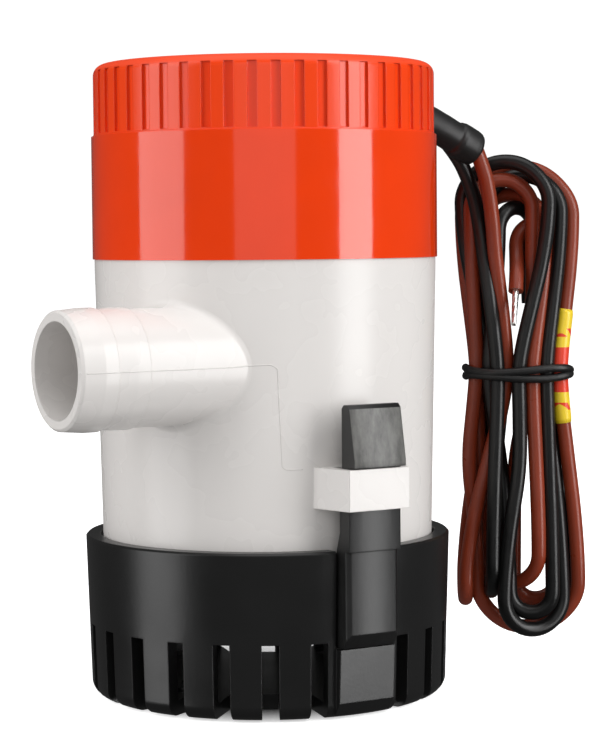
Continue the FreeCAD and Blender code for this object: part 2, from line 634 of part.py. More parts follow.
def make_end_cap():
    """Plastic end of the motor: rear bearing, brushes on copper arms, and two terminals."""
    bearing("rear_bearing", s.can_top)
    outer_face = s.can_top + s.end_cap_thick
    keep("motor_end_cap", turned("motor_end_cap", [
        (s.bearing_radius, s.can_top), (s.can_radius, s.can_top), (s.can_radius, outer_face),
        (s.bearing_radius + s.end_cap_boss, outer_face), (s.bearing_radius + s.end_cap_boss, s.end_cap_top),
        (s.bearing_radius, s.end_cap_top),
    ]))
    brushes, arms, tabs = [], [], []
    for label, side in (("port", -1), ("starboard", 1)):
        near = s.commutator_radius + s.brush_gap
        far = near + s.brush_long
        half = s.brush_width / 2
        span = (-far, -near) if side < 0 else (near, far)
        brushes.append(block("brush_" + label, span, (-half, half),
                             (s.brush_low, s.brush_low + s.brush_width)))
        back = far + s.arm_thick
        span = (-back, -far) if side < 0 else (far, back)
        arms.append(block("arm_" + label, span, (-half, half), (s.brush_low - s.arm_past_brush, s.can_top)))
        tab = s.terminal_offset + s.terminal_thick
        span = (-tab, -s.terminal_offset) if side < 0 else (s.terminal_offset, tab)
        tabs.append(block("tab_" + label, span, (-s.terminal_wide / 2, s.terminal_wide / 2),
                          (outer_face, s.terminal_top)))
    keep("carbon_brushes", group("carbon_brushes", *brushes))
    keep("brush_arms", group("brush_arms", *arms))
    keep("motor_terminals", group("motor_terminals", *tabs))


# ---------------------------------------------------------------- cap, label and seals

BOOT_INNER = (23.5, 0.0, 96.0)     # inner end of the boot, inside the cap
BOOT_BEND = (35.2, 0.0, 93.5)
BOOT_TIP = (42.3, 0.0, 89.4)


def boot_root_direction():
    return (FreeCAD.Vector(*BOOT_BEND) - FreeCAD.Vector(*BOOT_INNER)).normalize()


def make_cap():
    """Orange cap with an upright-fluted grip; its skirt slides over the housing's neck."""
    shell = turned("cap_shell", [
        (0, s.cap_top), (s.grip_radius, s.cap_top), (s.grip_radius, s.grip_low),
        (s.skirt_radius, s.grip_low), (s.skirt_radius, s.skirt_low), (s.skirt_bore, s.skirt_low),
        (s.skirt_bore, s.cap_step), (s.cap_inner, s.cap_step), (s.cap_inner, s.cap_top - s.cap_roof),
        (0, s.cap_top - s.cap_roof),
    ])
    dress(shell, "Fillet", "cap_round", ring_edge_at(s.grip_radius.value, s.cap_top.value), s.cap_rounding)
    count = int(s.flute_count.value)
    flutes = [
        spoke(f"flute_{i}", s.grip_radius - s.flute_depth, s.grip_radius + PAST, s.flute_width,
              s.flute_low, s.flute_high, s.flute_phase_deg + 360.0 / count * i)
        for i in range(count)
    ]
    hole_axis = boot_root_direction()
    hole = Part.makeCylinder(s.boot_radius.value + s.boot_gap.value, s.boot_hole_long.value,
                             FreeCAD.Vector(*BOOT_INNER) - hole_axis, hole_axis)
    keep("cap", cut("cap", shell, *flutes, free_shape("boot_hole", hole)))
    keep("label_band", turned("label_band", [
        (s.label_inner, s.label_low), (s.label_outer, s.label_low), (s.label_outer, s.label_high),
        (s.label_inner, s.label_high),
    ]))
    keep("cap_seal", torus("cap_seal", s.cap_seal_ring, s.cap_seal_section,
                           (s.cap_groove_low + s.cap_groove_high) / 2))
    keep("case_seal", torus("case_seal", s.case_seal_ring, s.case_seal_section,
                            s.shelf_top - s.case_seal_section - s.seal_clearance))


# ---------------------------------------------------------------- boot and leads

HANK_TURN = math.radians(-32.5)              # the hank's flat side is turned this far from -Y
HANK_AXIS = (53.5, 0.0)                      # where the hank hangs, beyond the boot
LEFT_RIGHT = (math.cos(HANK_TURN), math.sin(HANK_TURN))
FRONT_BACK = (-math.sin(HANK_TURN), math.cos(HANK_TURN))


def beside_hank(across, back, height):
    """A point given across the hank's flat side, back from it, and up."""
    return (
        HANK_AXIS[0] + across * LEFT_RIGHT[0] + back * FRONT_BACK[0],
        HANK_AXIS[1] + across * LEFT_RIGHT[1] + back * FRONT_BACK[1],
        height,
    )


BROWN_ROUTE = [beside_hank(*p) for p in (
    (-9.1, -7.0, 89.3), (-7.7, -7.1, 85.6), (-6.8, -6.6, 81.0), (-6.2, -5.9, 76.0), (-5.9, -5.3, 71.5),
)]
BLACK_ROUTE = [beside_hank(*p) for p in (
    (-14.6, -8.2, 91.0), (-12.4, -6.6, 88.4), (-10.5, -5.2, 84.6), (-9.1, -4.2, 80.2), (-8.3, -3.7, 75.6),
)]
BROWN_INSIDE = [(23.5, -1.45, 96.0), (18.6, -1.45, 97.05), (13.6, -1.5, 95.4), (10.2, -0.9, 91.2),
                (9.4, 0.0, 86.0), (9.4, 0.0, 80.55)]
BLACK_INSIDE = [(23.5, 1.45, 96.0), (16.2, 1.45, 97.56), (7.5, 2.4, 96.9), (-1.5, 2.6, 95.4),
                (-7.6, 1.2, 91.4), (-9.4, 0.0, 86.0), (-9.4, 0.0, 80.55)]

# Where the two stripped ends start and stop, the run that the marker sleeve is on, and the tie's tail.
BARE_ENDS = [((-2.0, -6.0, 64.4), (-2.4, -6.2, 57.4)), ((0.8, 5.1, 62.2), (1.0, 5.0, 55.2))]
TAG_ROUTE = [beside_hank(*p) for p in (
    (8.0, -1.4, 62.0), (7.0, -1.2, 56.0), (6.1, -1.0, 50.0), (6.5, -0.8, 42.0),
)]
TIE_TAIL_ROOT = (-2.0, 5.45)
TIE_TAIL_WAY = FreeCAD.Vector(0.35, 0.9, -0.2)

# The hank's outer shape: height, left edge, right edge, middle of its depth, half its depth.
HANK_SECTIONS = [
    (0.3, -3.0, 4.6, 4.4, 2.4), (2.6, -6.6, 7.6, 4.3, 4.0), (7.0, -10.2, 9.4, 4.0, 5.0),
    (18.0, -11.4, 10.7, 3.0, 5.4), (30.0, -12.2, 9.9, 1.8, 5.3), (42.0, -11.6, 7.9, 0.2, 5.0),
    (50.0, -11.2, 7.7, -0.4, 4.9), (58.0, -12.0, 8.4, -0.9, 5.0), (68.0, -13.0, 9.7, -1.3, 5.2),
    (77.0, -12.8, 9.8, -1.4, 4.8), (83.5, -10.4, 8.2, -1.2, 4.0), (87.4, -6.2, 4.8, -1.0, 2.9),
    (89.2, -2.6, 1.2, -1.0, 1.6),
]


def hank_section(height, left, right, depth_middle, depth_half):
    """An ellipse across the hank at one height."""
    centre = FreeCAD.Vector(*beside_hank((left + right) / 2, depth_middle, height))
    half = (right - left) / 2
    ellipse = Part.Ellipse(FreeCAD.Vector(0, 0, 0), half, depth_half)
    wire = Part.Wire([ellipse.toShape()])
    turn = FreeCAD.Rotation(FreeCAD.Vector(0, 0, 1), math.degrees(HANK_TURN))
    wire.Placement = FreeCAD.Placement(centre, turn)
    return wire


def make_boot():
    """Rubber strain relief through the cap's wall, ending in a collar."""
    stem = tube("cord_boot", [BOOT_INNER, BOOT_BEND, BOOT_TIP], s.boot_radius.value)
    start, end = FreeCAD.Vector(*BOOT_INNER), FreeCAD.Vector(*BOOT_TIP)
    flange = Part.makeCylinder(s.boot_flange_radius.value, s.boot_flange_thick.value, start,
                               boot_root_direction())
    along = (end - FreeCAD.Vector(*BOOT_BEND)).normalize()
    long = s.collar_long.value
    collar = Part.makeCylinder(s.collar_radius.value, long, end - along * long, along)
    ends = [e for e in collar.Edges if isinstance(e.Curve, Part.Circle)]
    collar = collar.makeFillet(s.collar_rounding.value, ends)
    keep("cord_boot", free_shape("cord_boot", stem.fuse([flange, collar]).removeSplitter()))


def make_leads():
    """Two insulated leads: stretches inside the cap, free stretches outside, and the tied hank."""
    radius = s.lead_radius.value
    for name, route in (("inner_brown_lead", BROWN_INSIDE), ("inner_black_lead", BLACK_INSIDE),
                        ("brown_lead", BROWN_ROUTE), ("black_lead", BLACK_ROUTE)):
        keep(name, free_shape(name, tube(name, route, radius)))
    hank = Part.makeLoft([hank_section(*section) for section in HANK_SECTIONS], True, True)
    keep("lead_hank", free_shape("lead_hank", hank))
    tips = []
    for top, bottom in BARE_ENDS:
        upper, lower = FreeCAD.Vector(*beside_hank(*top)), FreeCAD.Vector(*beside_hank(*bottom))
        along = lower - upper
        tips.append(Part.makeCylinder(s.conductor_radius.value, along.Length, upper, along))
    keep("bare_wire_ends", free_shape("bare_wire_ends", Part.makeCompound(tips)))


def make_tie_and_tag():
    """Twist tie around the hank's waist, and a plain marker sleeve on one brown run."""
    waist = min(HANK_SECTIONS, key=lambda section: abs(section[0] - s.tie_height.value))
    left, right, middle, half_depth = waist[1:]
    bend = half_depth + s.tie_clearance.value
    turns = []
    for rise in (-s.tie_rise.value, s.tie_rise.value):
        centre_left = beside_hank(left + half_depth, middle, s.tie_height.value + rise)
        centre_right = beside_hank(right - half_depth, middle, s.tie_height.value + rise)
        turns.append(tie_ring(FreeCAD.Vector(*centre_left), FreeCAD.Vector(*centre_right), bend))
    tail_root = FreeCAD.Vector(*beside_hank(*TIE_TAIL_ROOT, s.tie_height.value))
    tail = Part.makeCylinder(s.tie_tail_radius.value, s.tie_tail_long.value, tail_root, TIE_TAIL_WAY)
    keep("wire_tie", free_shape("wire_tie", turns[0].fuse([turns[1], tail]).removeSplitter()))
    keep("wire_tag", free_shape("wire_tag", tube("wire_tag", TAG_ROUTE, s.tag_radius.value)))


def tie_ring(centre_left, centre_right, bend):
    """A round-ended ring of tie strand about two centres at one height."""
    across = (centre_right - centre_left).normalize()
    back = FreeCAD.Vector(-across.y, across.x, 0)
    front_left, back_left = centre_left - back * bend, centre_left + back * bend
    front_right, back_right = centre_right - back * bend, centre_right + back * bend
    wire = Part.Wire([
        Part.LineSegment(front_left, front_right).toShape(),
        Part.Arc(front_right, centre_right + across * bend, back_right).toShape(),
        Part.LineSegment(back_right, back_left).toShape(),
        Part.Arc(back_left, centre_left - across * bend, front_left).toShape(),
    ])
    profile = Part.Wire([Part.makeCircle(s.tie_radius.value, front_left, across)])
    return wire.makePipeShell([profile], True, True)


# ---------------------------------------------------------------- build, check, write

make_strainer_base()
for latch_label, latch_side in LATCH_SIDES:
    make_latch(latch_label, latch_side)
make_outer_housing()
make_inlet_plate()
make_impeller()
make_motor_case()
make_motor_can()
make_magnets()
make_armature()
make_end_cap()
make_cap()
make_boot()
make_leads()
make_tie_and_tag()
document.recompute()

failed = [o.Label for o in document.Objects if "Invalid" in o.State or "Error" in o.State]
for node, piece in parts.items():
    if piece.Shape.isNull() or not piece.Shape.isValid() or not piece.Shape.Solids:
        failed.append(node)
if failed:
    raise RuntimeError(f"these objects failed: {failed}")

os.makedirs("parts", exist_ok=True)
for node, piece in parts.items():
    piece.Shape.exportStep(f"parts/{node}.step")
    print(f"{node}: {len(piece.Shape.Solids)} solid(s), {piece.Shape.Volume / 1000:.2f} cm3")
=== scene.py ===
"""Bilge pump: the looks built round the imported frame. Metres, row frame, nozzle towards -X."""

import json
from math import cos, hypot, pi, radians, sin

import bpy
from mathutils import Matrix, Quaternion, Vector


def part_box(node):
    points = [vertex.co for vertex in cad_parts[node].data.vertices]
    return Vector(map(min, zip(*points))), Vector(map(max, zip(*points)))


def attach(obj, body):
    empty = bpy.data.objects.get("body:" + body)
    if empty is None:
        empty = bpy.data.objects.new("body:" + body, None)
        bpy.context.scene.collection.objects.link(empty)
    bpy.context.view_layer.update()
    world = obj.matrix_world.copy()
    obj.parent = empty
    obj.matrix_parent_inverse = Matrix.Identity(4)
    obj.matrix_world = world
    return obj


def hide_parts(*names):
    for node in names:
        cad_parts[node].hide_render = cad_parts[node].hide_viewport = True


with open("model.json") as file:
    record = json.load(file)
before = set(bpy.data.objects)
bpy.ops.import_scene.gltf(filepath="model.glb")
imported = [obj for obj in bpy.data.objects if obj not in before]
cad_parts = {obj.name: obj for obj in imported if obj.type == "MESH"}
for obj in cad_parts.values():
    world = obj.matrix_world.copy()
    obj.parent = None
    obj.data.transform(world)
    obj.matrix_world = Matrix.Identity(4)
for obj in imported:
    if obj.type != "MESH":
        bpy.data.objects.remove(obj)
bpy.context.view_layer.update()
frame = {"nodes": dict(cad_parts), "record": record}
MM = 0.001

# ---------------------------------------------------------------- camera

CAMERA_PLACE = Vector((-0.1977, -0.3357, 0.0759))
CAMERA_AZIMUTH = radians(-32.516)
CAMERA_YAW = radians(1.20)
CAMERA_PITCH = radians(3.37)
CAMERA_ROLL = 0.0086
CAMERA_LENS = 115.4


def add_camera():
    """The studio camera, low and to the nozzle's side."""
    data = bpy.data.cameras.new("camera")
    data.lens = CAMERA_LENS
    data.sensor_width = 36.0
    data.clip_start = 0.01
    data.clip_end = 20.0
    camera = bpy.data.objects.new("camera", data)
    bpy.context.scene.collection.objects.link(camera)
    heading = CAMERA_AZIMUTH + CAMERA_YAW
    level = cos(CAMERA_PITCH)
    ahead = Vector((-sin(heading) * level, cos(heading) * level, -sin(CAMERA_PITCH)))
    turn = ahead.to_track_quat("-Z", "Y") @ Quaternion((0, 0, 1), -CAMERA_ROLL)
    camera.matrix_world = Matrix.Translation(CAMERA_PLACE) @ turn.to_matrix().to_4x4()
    bpy.context.scene.camera = camera


add_camera()

# ---------------------------------------------------------------- the two leads

HANK_TURN = radians(-32.5)
HANK_AXIS = Vector((53.5, 0.0, 0.0))
ACROSS = Vector((cos(HANK_TURN), sin(HANK_TURN), 0.0))
BACK = Vector((-sin(HANK_TURN), cos(HANK_TURN), 0.0))
LEAD_DIAMETER = 2.6 * MM
TIE_HEIGHT = 50.4


def beside_hank(across, back, height):
    """A point given in millimetres across, behind and above the hank's foot, in the row frame."""
    return (HANK_AXIS + across * ACROSS + back * BACK + Vector((0, 0, height))) * MM


def between(a, b, share):
    """The (across, back) place at a share of the way from a to b."""
    return a[0] + (b[0] - a[0]) * share, a[1] + (b[1] - a[1]) * share


# Share of the way aside, share of the way up or down, and share of the bow, for each point of a strand.
STRAND_STEPS = ((0.12, 0.16, 0.35), (0.46, 0.42, 1.0), (0.80, 0.68, 0.35), (0.99, 0.93, 0.0))


def strand(slot, side, spring, bow):
    """Points from the tie to where a fold springs, as (across, back, height)."""
    points = []
    for share, rise, part in STRAND_STEPS:
        across, back = between(slot, side, share)
        height = TIE_HEIGHT + (spring - TIE_HEIGHT) * rise
        points.append((across + bow[0] * part, back + bow[1] * part, height))
    return points


def half_turn(side_in, side_out, spring, way, lean=0.0):
    """Points of a round half turn from one side to the other, up (way 1) or down (way -1)."""
    half = hypot(side_out[0] - side_in[0], side_out[1] - side_in[1]) / 2
    middle = between(side_in, side_out, 0.5)
    reach = 1 / cos(pi / 8)
    points = []
    for angle in (22.5, 67.5, 112.5, 157.5):
        aside, along = cos(radians(angle)) * reach, sin(radians(angle)) * reach
        points.append((middle[0] + (side_in[0] - middle[0]) * aside,
                       middle[1] + (side_in[1] - middle[1]) * aside + lean * along,
                       spring + way * half * along))
    return points


def fold(slot_in, side_in, side_out, extreme, lean, slot_out, bow_in=(0, 0), bow_out=(0, 0)):
    """One half turn of a lead: from the tie round a fold and back to the tie."""
    way = 1 if extreme > TIE_HEIGHT else -1
    spring = extreme - way * hypot(side_out[0] - side_in[0], side_out[1] - side_in[1]) / 2
    points = strand(slot_in, side_in, spring, bow_in)
    points += half_turn(side_in, side_out, spring, way, lean)
    points += reversed(strand(slot_out, side_out, spring, bow_out))
    points.append((slot_out[0], slot_out[1], TIE_HEIGHT))
    return points


# Where each run passes through the tie, as (across, back).
BROWN_SLOTS = {"lead": (-3.6, -3.1), "left_back": (-6.6, 2.4), "front": (0.7, -4.3),
               "outer_left": (-8.8, 0.7), "tagged": (5.5, -2.5), "left": (-9.0, -2.1),
               "middle": (0.8, -1.6), "last": (3.5, 1.8)}
BLACK_SLOTS = {"lead": (-5.4, -5.0), "back": (-4.0, 2.1), "right": (3.2, -3.7), "left": (-6.9, -3.2),
               "middle": (1.0, 1.1), "outer_left": (-6.4, -0.4), "front": (-1.8, -5.0), "last": (3.4, -1.0)}

# Half turns in winding order: slot in, side in, side out, extreme height, lean back, slot out, bows.
BROWN_FOLDS = (
    ("lead", (-11.0, -2.8), (-11.0, 4.8), 10.0, 0.0, "left_back"),
    ("left_back", (-8.8, 3.6), (3.5, -1.7), 81.7, 1.0, "front"),
    ("front", (1.7, -4.6), (-7.8, 2.2), 12.8, 1.6, "outer_left"),
    ("outer_left", (-11.2, 2.0), (8.1, 0.4), 86.6, 1.2, "tagged"),
    ("tagged", (9.0, -0.6), (-8.8, 0.4), 4.6, 2.3, "left", (0, 0), (-1.6, 0)),
    ("left", (-9.9, -2.5), (0.9, -1.9), 84.3, 0.0, "middle"),
    ("middle", (-2.2, 3.2), (6.0, 5.0), 9.4, 0.0, "last", (-1.6, 0), (0, 1.4)),
)
BLACK_FOLDS = (
    ("lead", (-6.4, -5.2), (-6.4, 5.8), 11.4, 0.0, "back"),
    ("back", (-7.4, 0.7), (5.9, -1.9), 85.0, 0.6, "right"),
    ("right", (4.2, -3.6), (-3.3, -2.8), 8.0, 0.0, "left", (0, 0), (0.6, 3.0)),
    ("left", (-5.0, -1.9), (1.6, 3.0), 79.4, 0.0, "middle"),
    ("middle", (8.6, 2.4), (-4.4, 6.2), 6.6, 0.6, "outer_left"),
    ("outer_left", (-11.4, -0.8), (3.6, -4.6), 87.4, 0.0, "front"),
    ("front", (-4.4, -5.4), (6.2, -1.2), 5.0, 0.0, "last", (1.4, 0), (0, 0)),
)

# The stretch from the boot to the tie, and from the last pass through the tie to the stripped end.
BROWN_START = ((-9.1, -7.0, 89.3), (-7.7, -7.1, 85.6), (-6.8, -6.6, 81.0), (-6.2, -5.9, 76.0),
               (-5.9, -5.3, 71.5), (-4.4, -4.1, 60.0), (-3.6, -3.1, 51.5))
BLACK_START = ((-14.6, -8.2, 91.0), (-12.4, -6.6, 88.4), (-10.5, -5.2, 84.6), (-9.1, -4.2, 80.2),
               (-8.3, -3.7, 75.6), (-6.3, -5.2, 60.0), (-5.4, -5.0, 51.5))
BROWN_FINISH = ((4.1, 1.6, 58), (5.4, 1.0, 66), *half_turn((5.8, 1.0), (-1.8, 0.6), 72.8, 1),
                (-1.8, -1.2, 70.2), (-2.0, -4.0, 67.6), (-2.3, -5.6, 64.8))
BLACK_FINISH = ((5.6, 0.2, 56), (7.2, 2.8, 61), *half_turn((7.6, 5.2), (0.6, 5.6), 72.6, 1),
                (0.6, 5.4, 67.5), (0.8, 5.1, 62.4))


def lead_curve(name, start, slots, folds, finish):
    """One insulated lead as a single smooth spline through all its turns."""
    route = list(start)
    for slot_in, side_in, side_out, extreme, lean, slot_out, *bows in folds:
        route += fold(slots[slot_in], side_in, side_out, extreme, lean, slots[slot_out], *bows)
    route += finish
    data = bpy.data.curves.new(name, "CURVE")
    data.dimensions = "3D"
    spline = data.splines.new("NURBS")
    spline.points.add(len(route) - 1)
    for point, place in zip(spline.points, route):
        point.co = (*beside_hank(*place), 1.0)
    spline.order_u = 3
    spline.use_endpoint_u = True
    data.resolution_u = 10
    data.bevel_depth = LEAD_DIAMETER / 2
    data.bevel_resolution = 6
    data.use_fill_caps = True
    piece = bpy.data.objects.new(name, data)
    bpy.context.scene.collection.objects.link(piece)
    return piece


brown = lead_curve("lead_brown", BROWN_START, BROWN_SLOTS, BROWN_FOLDS, BROWN_FINISH)
black = lead_curve("lead_black", BLACK_START, BLACK_SLOTS, BLACK_FOLDS, BLACK_FINISH)


def centreline(piece):
    """The points of a lead's own smooth line, in the row frame."""
    bare = bpy.data.objects.new("bare_line", piece.data.copy())
    bare.data.bevel_depth = 0
    bare.data.use_fill_caps = False
    bpy.context.scene.collection.objects.link(bare)
    graph = bpy.context.evaluated_depsgraph_get()
    mesh = bpy.data.meshes.new_from_object(bare.evaluated_get(graph))
    line = [v.co.copy() for v in mesh.vertices]
    bpy.data.objects.remove(bare)
    bpy.data.meshes.remove(mesh)
    return line


def add_mesh(name, verts, faces, smooth=True):
    mesh = bpy.data.meshes.new(name)
    mesh.from_pydata(verts, [], faces)
    mesh.validate()
    mesh.update()
    if smooth:
        mesh.polygons.foreach_set("use_smooth", [True] * len(mesh.polygons))
    piece = bpy.data.objects.new(name, mesh)
    bpy.context.scene.collection.objects.link(piece)
    return piece


def sweep(line, radii, sides=24, closed=False):
    """Vertices and faces of a round bar along a line, one radius per point, capped unless closed."""
    count = len(line)
    verts, faces = [], []
    side = Vector((0, 0, 1))
    for i, place in enumerate(line):
        before = line[i - 1] if i or closed else line[0]
        after = line[(i + 1) % count] if i + 1 < count or closed else line[-1]
        along = (after - before).normalized()
        side = (side - along * side.dot(along)).normalized()
        if i == 0 and side.length < 0.5:
            side = along.orthogonal().normalized()
        other = along.cross(side)
        for k in range(sides):
            angle = 2 * pi * k / sides
            verts.append(place + (side * cos(angle) + other * sin(angle)) * radii[i])
    for i in range(count if closed else count - 1):
        a, b = i * sides, (i + 1) % count * sides
        for k in range(sides):
            n = (k + 1) % sides
            faces.append((a + k, a + n, b + n, b + k))
    if not closed:
        faces.append(tuple(reversed(range(sides))))
        faces.append(tuple(range((count - 1) * sides, count * sides)))
    return verts, faces


def join_parts(parts_made):
    """One list of vertices and faces from several."""
    verts, faces = [], []
    for more_verts, more_faces in parts_made:
        shift = len(verts)
        verts += more_verts
        faces += [tuple(i + shift for i in face) for face in more_faces]
    return verts, faces


def smooth_line(points, steps=8, closed=False):
    """Points along a smooth curve through the given ones (Catmull-Rom)."""
    count = len(points)
    line = []
    for i in range(count if closed else count - 1):
        if closed:
            a, b, c, d = (points[(i + k) % count] for k in (-1, 0, 1, 2))
        else:
            a, b, c, d = (points[min(max(i + k, 0), count - 1)] for k in (-1, 0, 1, 2))
        for step in range(steps):
            t = step / steps
            line.append(0.5 * (2 * b + (c - a) * t + (2 * a - 5 * b + 4 * c - d) * t ** 2
                               + (3 * b - a - 3 * c + d) * t ** 3))
    if not closed:
        line.append(points[-1].copy())
    return line


# ---------------------------------------------------------------- pieces on the leads

brown_line = centreline(brown)
black_line = centreline(black)


END_LENGTH = 7.0 * MM
END_INSIDE = 0.6 * MM
END_SAG = 0.25 * MM
END_STRANDS, END_STEPS, END_TURNS = 7, 24, 0.7
STRAND_RADIUS = 0.30 * MM


def lead_end(line, start_angle):
    """A stripped, tinned end: seven fine strands drawn into one tapered bundle."""
    tip = line[-1]
    along = (line[-1] - line[-3]).normalized()
    side = along.orthogonal().normalized()
    other = along.cross(side)
    core = END_STRANDS - 1
    made = []
    for k in range(END_STRANDS):
        path, radii = [], []
        for step in range(END_STEPS + 1):
            share = step / END_STEPS
            angle = 2 * pi * (k / core + END_TURNS * share) + start_angle
            ring = 0.0 if k == core else (0.34 - 0.14 * share) * MM
            sag = Vector((0, 0, -1)) * (END_SAG * share ** 2)
            path.append(tip + along * (END_LENGTH * share - END_INSIDE) + sag
                        + side * ring * cos(angle) + other * ring * sin(angle))
            radii.append(STRAND_RADIUS * (1 - 0.25 * share ** 3))
        made.append(sweep(path, radii, 8))
    return join_parts(made)


wire_ends = add_mesh("tinned_ends", *join_parts([lead_end(brown_line, 0.3), lead_end(black_line, 1.1)]))

TAG_LOW, TAG_HIGH = 41.4 * MM, 61.8 * MM


def tagged_run():
    """The part of the brown lead's line that the marker sleeve covers: the run nearest the tagged slot."""
    middle = min(range(len(brown_line)),
                 key=lambda i: (brown_line[i] - beside_hank(*BROWN_SLOTS["tagged"], TIE_HEIGHT)).length)
    first = last = middle
    while TAG_LOW < brown_line[first - 1].z < TAG_HIGH:
        first -= 1
    while TAG_LOW < brown_line[last + 1].z < TAG_HIGH:
        last += 1
    return brown_line[first:last + 1]


TAG_WALL, TAG_EDGE, TAG_SIDES = 0.20 * MM, 0.10 * MM, 32


def add_tag():
    """Marker sleeve on the tagged run, its two rims drawn in a little."""
    run = tagged_run()
    radii = [LEAD_DIAMETER / 2 + TAG_WALL] * len(run)
    radii[0] -= TAG_EDGE
    radii[-1] -= TAG_EDGE
    return add_mesh("marker_sleeve", *sweep(run, radii, TAG_SIDES))


tag = add_tag()

TIE_RING = ((-10.9, -1.4), (-10.0, -4.2), (-6.6, -6.6), (-1.7, -6.9), (2.9, -6.0), (6.1, -4.7),
            (7.3, -2.4), (6.2, 2.0), (3.4, 3.8), (-1.2, 4.0), (-6.2, 4.4), (-9.8, 2.6))


TIE_RADIUS, TAIL_RADIUS = 0.72 * MM, 0.62 * MM
TIE_SMOOTHING = 10
TAIL_LENGTH, TAIL_TURNS, TAIL_STEPS = 7.0 * MM, 2.2, 32
TAIL_SPLAY_FROM = 0.72


def add_tie():
    """Twist tie: two turns of flat coated wire round the hank, and a twisted tail behind it."""
    made = []
    for turn, (rise, grow) in enumerate(((-0.55, 0.0), (0.60, 0.4))):
        ring = []
        for k, (across, back) in enumerate(TIE_RING):
            sway = 0.35 * sin(1.3 * k + 2.0 * turn)
            wider, deeper = 1 + 0.012 * grow, 1 + 0.03 * grow
            ring.append(beside_hank(across * wider + 0.1, back * deeper, TIE_HEIGHT + rise + sway))
        path = smooth_line(ring, TIE_SMOOTHING, True)
        made.append(sweep(path, [TIE_RADIUS] * len(path), 12, True))
    root = beside_hank(-2.0, 4.9, TIE_HEIGHT)
    away = (BACK * 0.55 + ACROSS * 0.75 + Vector((0, 0, -0.35))).normalized()
    side = away.orthogonal().normalized()
    other = away.cross(side)
    for k in (0, 1):
        path = []
        for step in range(TAIL_STEPS + 1):
            share = step / TAIL_STEPS
            angle = 2 * pi * TAIL_TURNS * share + pi * k
            spread = TAIL_RADIUS + 1.1 * MM * max(0.0, share - TAIL_SPLAY_FROM)
            aside = (side * cos(angle) + other * sin(angle)) * spread
            path.append(root + away * TAIL_LENGTH * share + aside)
        made.append(sweep(path, [TAIL_RADIUS] * len(path), 12))
    return add_mesh("twist_tie", *join_parts(made))


tie = add_tie()

BOOT_LINE = ((23.5, 0.0, 96.0), (27.5, 0.0, 95.2), (31.5, 0.0, 94.35), (35.0, 0.0, 93.0), (38.6, 0.0, 91.2),
             (42.3, 0.0, 89.4))
# Share of the way along the boot, and radius there in millimetres.
BOOT_PROFILE = ((0.0, 4.3), (0.045, 4.4), (0.08, 4.2), (0.10, 3.3), (0.20, 3.2), (0.30, 3.14), (0.40, 2.92),
                (0.60, 2.76), (0.70, 2.74), (0.755, 2.76), (0.78, 3.06), (0.81, 3.20), (0.85, 3.22),
                (0.93, 3.20), (0.97, 3.12), (0.99, 2.94), (1.0, 2.70))


BOOT_STEPS, BOOT_SIDES = 120, 48


def add_boot():
    """Rubber strain relief: flange inside the cap, tapered stem, rounded collar at its mouth."""
    line = smooth_line([Vector(p) * MM for p in BOOT_LINE], 10)
    lengths = [0.0]
    for a, b in zip(line, line[1:]):
        lengths.append(lengths[-1] + (b - a).length)
    path, radii = [], []
    for step in range(BOOT_STEPS + 1):
        share = step / BOOT_STEPS
        at = share * lengths[-1]
        i = max(k for k in range(len(line) - 1) if lengths[k] <= at + 1e-12)
        t = (at - lengths[i]) / (lengths[i + 1] - lengths[i])
        path.append(line[i].lerp(line[i + 1], t))
        for (low, small), (high, large) in zip(BOOT_PROFILE, BOOT_PROFILE[1:]):
            if low <= share <= high:
                mix = (share - low) / (high - low)
                radii.append((small + (large - small) * mix * mix * (3 - 2 * mix)) * MM)
                break
    return add_mesh("boot", *sweep(path, radii, BOOT_SIDES))


boot = add_boot()

PARTING_RADIUS = 0.10 * MM
PARTING_SUNK = 0.4 * PARTING_RADIUS
PARTING_STEP = 0.25 * MM
MOUTH_SETBACK = 0.7 * MM
OUT_IN_FRONT = Vector((0, -60, 0)) * MM
# Turns of the mould's parting line as (x, z): off the nozzle, down the body and across to the latch loop.
PARTING_TURNS = ((-19.4, 54.9), (-13.4, 55.2), (-12.5, 54.6), (-12.1, 46.0), (-11.8, 39.4),
                 (-11.2, 38.9), (-8.6, 38.9))


def add_parting_line():
    """The fine seam left by the mould along the nozzle's side and down the body, laid on the surface."""
    housing = frame["nodes"]["outer_housing"]
    inward = housing.matrix_world.inverted()
    aim = inward.to_3x3() @ Vector((0, 1, 0))
    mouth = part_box("outer_housing")[0][0] + MOUTH_SETBACK
    turns = [Vector((mouth, 0, PARTING_TURNS[0][1] * MM))]
    turns += [Vector((x, 0, z)) * MM for x, z in PARTING_TURNS]
    path = []
    for start, end in zip(turns, turns[1:]):
        steps = max(2, round((end - start).length / PARTING_STEP))
        for step in range(steps):
            eye = start.lerp(end, step / steps) + OUT_IN_FRONT
            hit, place, _, _ = housing.ray_cast(inward @ eye, aim)
            if hit:
                path.append(housing.matrix_world @ place + Vector((0, PARTING_SUNK, 0)))
    return add_mesh("parting_line", *sweep(path, [PARTING_RADIUS] * len(path), 8))


parting = add_parting_line()

# ---------------------------------------------------------------- materials


